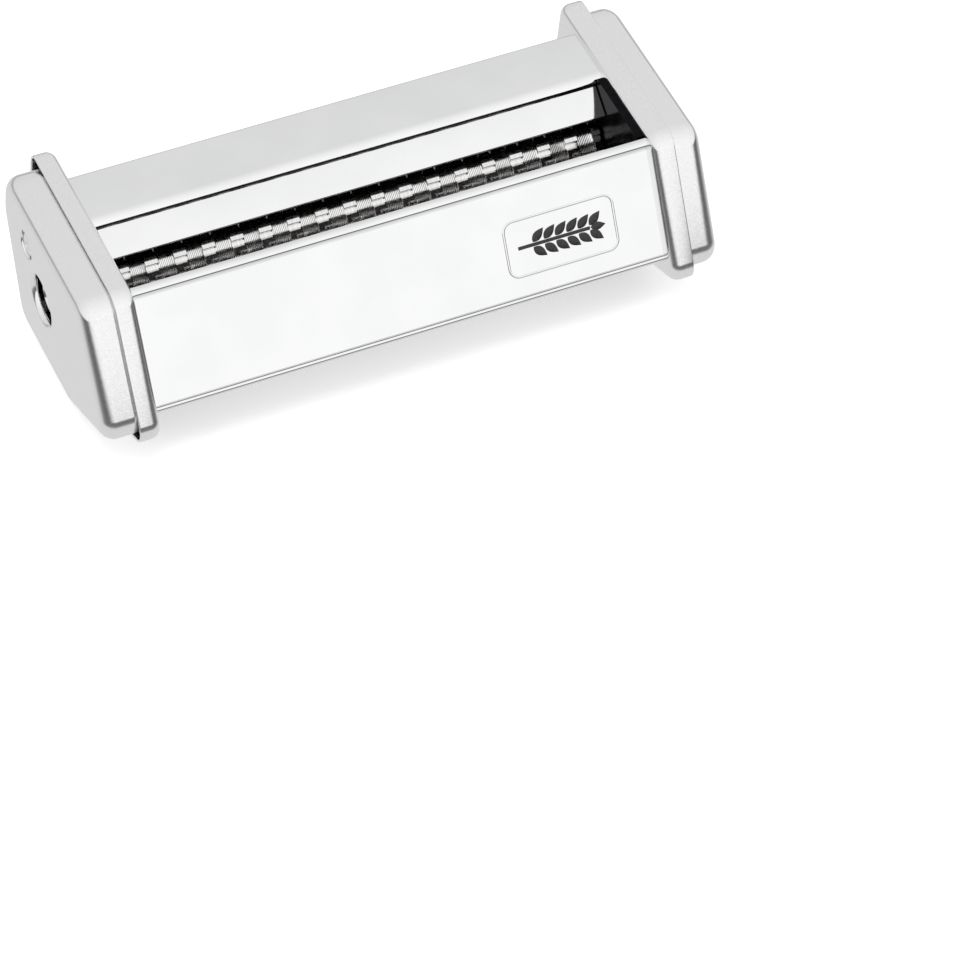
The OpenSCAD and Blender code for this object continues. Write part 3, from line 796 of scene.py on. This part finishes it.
bm = bmesh.new()
STEM_BACK, STEM_FRONT, STEM_HALF = -13.2, 9, 0.5
GRAIN_ROWS, GRAIN_STEP, FIRST_GRAIN = 6, 3.5, -8.6
GRAIN_LEAN = 42          # degrees from the stem
stem = [(STEM_BACK, STEM_HALF), (STEM_FRONT, STEM_HALF), (STEM_FRONT, -STEM_HALF), (STEM_BACK, -STEM_HALF)]
raised_shape(bm, stem)
for row in range(GRAIN_ROWS):
    for side in (-1, 1):
        spin = Matrix.Rotation(math.radians(GRAIN_LEAN) * side, 2)
        root = Vector((FIRST_GRAIN + row * GRAIN_STEP, side * 0.8))
        raised_shape(bm, [root + spin @ Vector(point) for point in grain_outline(5.0, 1.3)])
raised_shape(bm, [(STEM_FRONT + 0.2 + p, q) for p, q in grain_outline(4.6, 1.2)])
make_piece("badge_mark", bm, enamel, "frame", ["maker_badge"])

# %% [markdown]
# ## Rear cover
# The cover is flat on top, turns over a rounded nose and runs on as a short slanting guide that
# lets the dough slide to the rollers. The guide passes over the low left plate and stops just
# short of the tall right one.

# %% Rear cover
cover_low, cover_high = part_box("rear_cover")
COVER_TOP = (cover_high.z - driven_axis.z) / MM
COVER_BACK = (cover_high.y - driven_axis.y) / MM
COVER_FOOT = (cover_low.z - driven_axis.z) / MM
NOSE_Y, NOSE = 1.2, 2.8
BACK_BEND = 2.0
BACK_FLANGE = 5          # the cover's foot turns forward by this much
GUIDE_END = Vector((-8.6, 17.2))
GUIDE_LEFT, GUIDE_RIGHT = -77.9, 75.5


def bend_points(y, z, radius, start, end, steps=12):
    return [(y + radius * math.cos(t), z + radius * math.sin(t)) for t in arc(start, end, steps)]


nose_z, back_y, back_z = COVER_TOP - NOSE, COVER_BACK - BACK_BEND, COVER_TOP - BACK_BEND
outside = [(COVER_BACK - BACK_FLANGE, COVER_FOOT), (COVER_BACK, COVER_FOOT)]
outside += bend_points(back_y, back_z, BACK_BEND, 0, 90)
outside += bend_points(NOSE_Y, nose_z, NOSE, 90, 180)
inside = bend_points(NOSE_Y, nose_z, NOSE - SHEET, 180, 90)
inside += bend_points(back_y, back_z, BACK_BEND - SHEET, 90, 0)
inside += [(COVER_BACK - SHEET, COVER_FOOT + SHEET), (COVER_BACK - BACK_FLANGE, COVER_FOOT + SHEET)]
bm = bmesh.new()
pull_along(bm, outside + inside, -TRAY_FLOOR, TRAY_FLOOR)
guide_start = Vector((NOSE_Y - NOSE + 0.12, nose_z))
slope = (GUIDE_END - guide_start).normalized()
under = Vector((-slope.y, slope.x)) * SHEET
edge = GUIDE_END + under / 2
rounding = [edge - under / 2 * math.cos(t) + slope * 0.4 * math.sin(t) for t in arc(0, 180, 6)]
rooted = [guide_start + under + Vector((0.5, -0.2)), guide_start + Vector((0.6, 0))]
pull_along(bm, [guide_start, *rounding, *rooted], GUIDE_LEFT, GUIDE_RIGHT)


def faces_inside(face):
    """True for the cover's underside and the front of its back wall."""
    behind = face.center.y > driven_axis.y + back_y * MM
    return face.normal.z < -0.2 or face.normal.y < -0.95 and behind


# The cover's underside and the front of its back wall get the near-black inside finish, painted shade.
make_piece("rear_cover", bm, polished, "frame", ["rear_cover"], second=painted_shade_inside, picks=faces_inside)

# %% [markdown]
# ## Ringed rollers
# A roller is a bar turned down between its rings, so narrow rings stand over wide grooves. Long
# flutes are then milled across the rings to grip the dough. The bar is skinned from a turned
# profile with the tool's shallow ridges in every groove, and each ring is a fluted disc with
# eased edges.

# %% Roller parts
RING, GROOVE = 11.0, 9.5
PITCH, RING_WIDE = 8.6, 4.05
FLUTES, FLUTE_DEPTH = 16, 0.9
ROLLER_END = 75.3
TOOL_RISE = 0.06         # height of the lathe tool's ridges
FLUTE_TURN = 4.5         # degrees by which both rollers' flutes are turned
FIRST_DRIVEN = -71.5
DRIVEN_RINGS, IDLER_RINGS = 18, 17
RING_EASE, RING_ROOT = 0.12, 0.3


def turned_bar(bm, at, profile, count=64):
    """Skin a bar from (x, radius) steps round an axis; returns its end rings."""
    rings = [ring_verts(bm, circle_points(at, radius, count), x) for x, radius in profile]
    skin_row(bm, rings)
    return rings[0], rings[-1]


def groove_ridges(x0, x1):
    """The barrel between x0 and x1 with the lathe tool's fine ridges."""
    halves = 2 * max(2, round((x1 - x0) / TOOL_STEP))
    return [(x0 + (x1 - x0) * k / halves, GROOVE - (TOOL_RISE if k % 2 else 0)) for k in range(halves + 1)]


def fluted_points(at, shrink=0.0):
    """One ring's outline: flat lands, short flanks and flute floors."""
    step = 360 / FLUTES
    root = RING - FLUTE_DEPTH
    outline = []
    for i in range(FLUTES):
        for angle, radius in ((0, RING), (0.5, RING), (0.62, root), (0.88, root)):
            t = math.radians((i + angle) * step + FLUTE_TURN)
            reach = radius - shrink
            outline.append((at[0] + reach * math.cos(t), at[1] + reach * math.sin(t)))
    return outline


def ring_disc(bm, at, x0, x1):
    """A fluted ring with eased edges, reaching down into the bar."""
    centre = Vector(at)
    inner = (GROOVE - RING_ROOT) / RING
    core = [centre + (Vector(p) - centre) * inner for p in fluted_points(at)]
    eased, full = fluted_points(at, RING_EASE), fluted_points(at)
    sections = [(x0, core), (x0, eased), (x0 + RING_EASE, full)]
    sections += [(x1 - RING_EASE, full), (x1, eased), (x1, core)]
    skin_row(bm, [ring_verts(bm, outline, x) for x, outline in sections], closed=True)


def ringed_roller(name, body, finish, at, first, count, left_end, right_end):
    """left_end and right_end are (x, radius) profiles of the journals, from the barrel out."""
    bm = bmesh.new()
    spans = []
    for i in range(count):
        middle = first + i * PITCH
        spans.append((max(middle - RING_WIDE / 2, -ROLLER_END), min(middle + RING_WIDE / 2, ROLLER_END)))
    profile = [*reversed(left_end), (-ROLLER_END, GROOVE)]
    x = -ROLLER_END
    for x0, x1 in spans:
        if x0 > x + 0.5:
            profile += groove_ridges(x, x0)[1:]
        x = x1
        profile.append((x1, GROOVE))
    if x < ROLLER_END - 0.5:
        profile += groove_ridges(x, ROLLER_END)[1:]
    profile += right_end
    first_ring, last_ring = turned_bar(bm, at, profile)
    close_flat(bm, [first_ring])
    close_flat(bm, [last_ring])
    for x0, x1 in spans:
        ring_disc(bm, at, x0, x1)
    middle = Vector((driven_axis.y + at[0] * MM, driven_axis.z + at[1] * MM))

    def in_groove(face):
        out = (face.center.yz - middle).length
        on_barrel = abs(face.center.x) < ROLLER_END * MM and abs(face.normal.x) < 0.9
        return on_barrel and out < (GROOVE + 0.02) * MM

    make_piece(name, bm, finish, body, [name], crease=18, second=grooved, picks=in_groove)


# %% [markdown]
# The crank side of the driven roller is hollow: its bore steps down just behind the cross pin
# that the crank turns. The other ends are plain journals with a groove for a clip.

# %% The two rollers
driven_low, driven_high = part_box("driven_roller")
idler_low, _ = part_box("idler_roller")
SOCKET, SOCKET_DEPTH = 4.6, 5.5
INNER_BORE, INNER_DEPTH = 3.6, 13.2
SOCKET_NECK = 6.5
SHAFT_JOURNAL, STUB_JOURNAL = 5.0, 4.5
CLIP_DEPTH, CLIP_WIDE, CLIP_PLAY = 0.7, 1.0, 0.05
END_EASE = 0.3
mouth = driven_low.x / MM
clip_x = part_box("driven_gear_clip")[0].x / MM
stub_clip_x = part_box("idler_stub_clip")[1].x / MM


def journal(end, radius, groove_at, side):
    """A plain journal with an eased end and a groove for its clip."""
    groove_end = groove_at + side * CLIP_WIDE
    steps = [(side * ROLLER_END, radius), (groove_at, radius), (groove_at, radius - CLIP_DEPTH)]
    steps += [(groove_end, radius - CLIP_DEPTH), (groove_end, radius)]
    return steps + [(end - side * END_EASE, radius), (end, radius - END_EASE)]


socket_end = [(-ROLLER_END, SOCKET_NECK), (mouth + 0.35, SOCKET_NECK), (mouth + 0.1, SOCKET_NECK - 0.1)]
socket_end += [(mouth, SOCKET_NECK - 0.35), (mouth, SOCKET + 0.55), (mouth + 0.5, SOCKET)]
socket_end += [(mouth + SOCKET_DEPTH, SOCKET), (mouth + SOCKET_DEPTH, INNER_BORE)]
socket_end += [(mouth + INNER_DEPTH, INNER_BORE)]
geared_end = journal(driven_high.x / MM, SHAFT_JOURNAL, clip_x - CLIP_PLAY, 1)
stub_end = journal(idler_low.x / MM, STUB_JOURNAL, stub_clip_x + CLIP_PLAY, -1)
ringed_roller(
    "driven_roller", "driven_shaft", turned, (0, 0), FIRST_DRIVEN, DRIVEN_RINGS, socket_end, geared_end
)
ringed_roller(
    "idler_roller", "idler_shaft", shaded, idler_offset, FIRST_DRIVEN + PITCH / 2, IDLER_RINGS,
    stub_end, geared_end,
)

# %% [markdown]
# ## Finish the carried-over parts
# Everything else keeps its CAD shape and only needs its real finish.

# %% Dress the CAD parts
dress = {
    "bearing_plate": black_plate,
    "bushing": nylon,
    "clip": oiled_steel,
    "gear": gear_steel,
    "comb": plain_steel,
    "tie_rod": plain_steel,
    "post": plain_steel,
    "hook": plain_steel,
    "pin": plain_steel,
}
for name, node in frame["nodes"].items():
    finish = next((f for key, f in dress.items() if key in name), plain_steel)
    node.data.materials.clear()
    node.data.materials.append(finish.material)
print("dressed", len(frame["nodes"]), "CAD parts")
